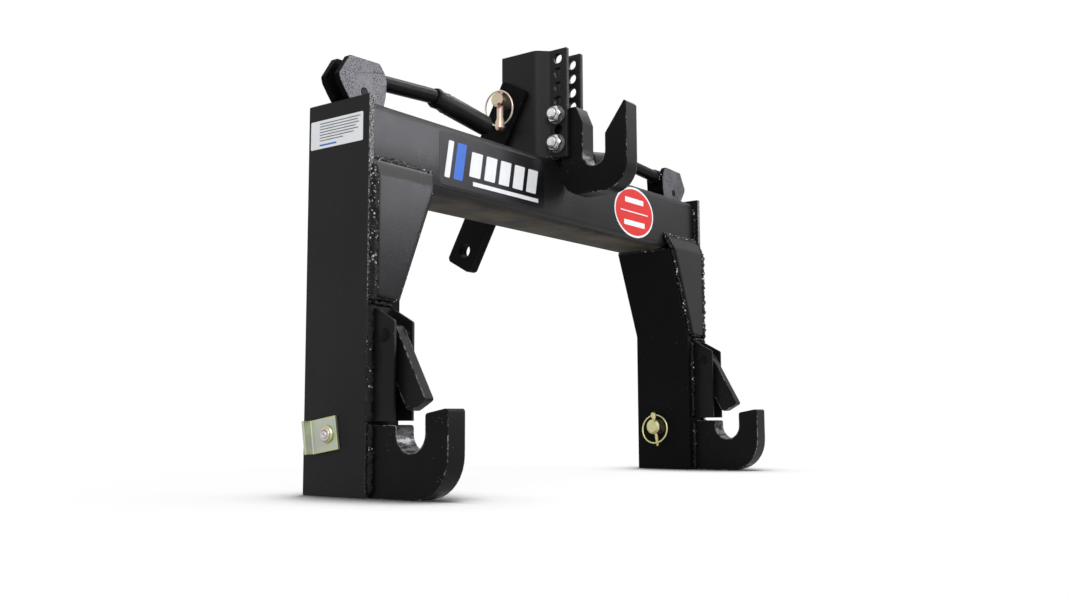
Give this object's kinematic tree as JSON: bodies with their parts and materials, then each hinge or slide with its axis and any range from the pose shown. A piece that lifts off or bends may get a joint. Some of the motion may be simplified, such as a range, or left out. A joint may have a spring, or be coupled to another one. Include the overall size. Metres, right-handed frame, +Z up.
{
  "type": "three point quick hitch",
  "caption": "Tractor quick hitch: a welded steel arch with open hooks, sprung latches worked by cam handles, a drilled mast for the top hook and a swinging drop link.",
  "frame": {"origin": "middle of the ground plan, at the level of the ground", "axes": "+X to the right seen from the implement, +Y back to the tractor, +Z up"},
  "size_m": [0.7484, 0.3046, 0.56],
  "materials": {
    "black_paint": "black powder coat, satin, lightly pitted",
    "yellow_zinc": "pale yellow zinc plating with faint pink and green tints",
    "bright_zinc": "bright zinc plating",
    "spring_steel": "oiled spring wire",
    "rubber_grip": "smooth black rubber, matte"
  },
  "bodies": {
    "frame": {"beam_tube": "black_paint", "hook_bolt_lower": "bright_zinc", "hook_bolt_upper": "bright_zinc", "hook_nut_lower": "bright_zinc", "hook_nut_upper": "bright_zinc", "hook_washer_lower_head": "bright_zinc", "hook_washer_lower_nut": "bright_zinc", "hook_washer_upper_head": "bright_zinc", "hook_washer_upper_nut": "bright_zinc", "left_channel": "black_paint", "left_gusset": "black_paint", "left_hitch_pin": "yellow_zinc", "left_hitch_pin_flag": "yellow_zinc", "left_hook": "black_paint", "left_latch_bracket": "black_paint", "left_latch_pin": "black_paint", "left_latch_spacer_inner": "yellow_zinc", "left_latch_spacer_outer": "yellow_zinc", "left_linchpin": "yellow_zinc", "left_mast_plate": "black_paint", "left_return_spring": "spring_steel", "left_side_plate": "black_paint", "right_channel": "black_paint", "right_gusset": "black_paint", "right_hitch_pin": "yellow_zinc", "right_hitch_pin_flag": "yellow_zinc", "right_hook": "black_paint", "right_latch_bracket": "black_paint", "right_latch_pin": "black_paint", "right_latch_spacer_inner": "yellow_zinc", "right_latch_spacer_outer": "yellow_zinc", "right_linchpin": "yellow_zinc", "right_mast_plate": "black_paint", "right_return_spring": "spring_steel", "right_side_plate": "black_paint", "top_hook": "black_paint", "top_linchpin": "yellow_zinc", "top_link_pin": "yellow_zinc"},
    "drop_link": {"left_drop_link_bar": "black_paint", "right_drop_link_bar": "black_paint"},
    "left_handle": {"left_cam_plate_front": "black_paint", "left_cam_plate_rear": "black_paint", "left_cam_pin": "black_paint", "left_handle_rod": "black_paint", "left_handle_grip": "rubber_grip"},
    "left_pull_rod": {"left_pull_rod": "bright_zinc"},
    "left_latch": {"left_latch": "black_paint", "left_latch_tail_pin": "bright_zinc"},
    "left_linchpin_ring": {"left_linchpin_ring": "yellow_zinc"},
    "right_handle": {"right_cam_plate_front": "black_paint", "right_cam_plate_rear": "black_paint", "right_cam_pin": "black_paint", "right_handle_rod": "black_paint", "right_handle_grip": "rubber_grip"},
    "right_pull_rod": {"right_pull_rod": "bright_zinc"},
    "right_latch": {"right_latch": "black_paint", "right_latch_tail_pin": "bright_zinc"},
    "right_linchpin_ring": {"right_linchpin_ring": "yellow_zinc"},
    "top_linchpin_ring": {"top_linchpin_ring": "yellow_zinc"}
  },
  "joints": [
    {"name": "left_pull_rod_slide", "type": "slide", "parent": "frame", "child": "left_pull_rod", "axis": [0, 0, 1], "range_m": [0, 0.026], "stiffness_N_per_m": 900, "springref_m": -0.02, "deforming": ["left_return_spring"]},
    {"name": "left_handle_swing", "type": "hinge", "parent": "left_pull_rod", "child": "left_handle", "pos_m": [-0.337, -0.00126, 0.43], "axis": [0, -1, 0], "range_deg": [0, 80]},
    {"name": "left_latch_swing", "type": "hinge", "parent": "frame", "child": "left_latch", "pos_m": [-0.3415, -0.06756, 0.164], "axis": [1, 0, 0], "range_deg": [0, 29]},
    {"name": "left_linchpin_ring_swing", "type": "hinge", "parent": "frame", "child": "left_linchpin_ring", "pos_m": [-0.303, 0.00683, 0.08103], "axis": [0, -0.9903, 0.1392], "range_deg": [0, 115], "stiffness_Nm_per_rad": 0.02, "springref_deg": -17.19},
    {"name": "right_pull_rod_slide", "type": "slide", "parent": "frame", "child": "right_pull_rod", "axis": [0, 0, 1], "range_m": [0, 0.026], "stiffness_N_per_m": 900, "springref_m": -0.02, "deforming": ["right_return_spring"]},
    {"name": "right_handle_swing", "type": "hinge", "parent": "right_pull_rod", "child": "right_handle", "pos_m": [0.337, -0.00126, 0.43], "axis": [0, 1, 0], "range_deg": [0, 80]},
    {"name": "right_latch_swing", "type": "hinge", "parent": "frame", "child": "right_latch", "pos_m": [0.3415, -0.06756, 0.164], "axis": [1, 0, 0], "range_deg": [0, 29]},
    {"name": "right_linchpin_ring_swing", "type": "hinge", "parent": "frame", "child": "right_linchpin_ring", "pos_m": [0.303, 0.00683, 0.08103], "axis": [0, 0.9903, -0.1392], "range_deg": [0, 115], "stiffness_Nm_per_rad": 0.02, "springref_deg": -17.19},
    {"name": "top_linchpin_ring_swing", "type": "hinge", "parent": "frame", "child": "top_linchpin_ring", "pos_m": [-0.056, 0.02094, 0.4605], "axis": [0, -1, 0], "range_deg": [0, 115], "stiffness_Nm_per_rad": 0.02, "springref_deg": -17.19},
    {"name": "drop_link_swing", "type": "hinge", "parent": "frame", "child": "drop_link", "pos_m": [0, 0.02094, 0.4935], "axis": [1, 0, 0], "range_deg": [0, 100]}
  ],
  "couplings": [
    {"joint": "left_pull_rod_slide", "follows": "left_handle_swing", "m_per_rad": 0.01862},
    {"joint": "left_latch_swing", "follows": "left_handle_swing", "ratio": 0.3624},
    {"joint": "right_pull_rod_slide", "follows": "right_handle_swing", "m_per_rad": 0.01862},
    {"joint": "right_latch_swing", "follows": "right_handle_swing", "ratio": 0.3624}
  ]
}
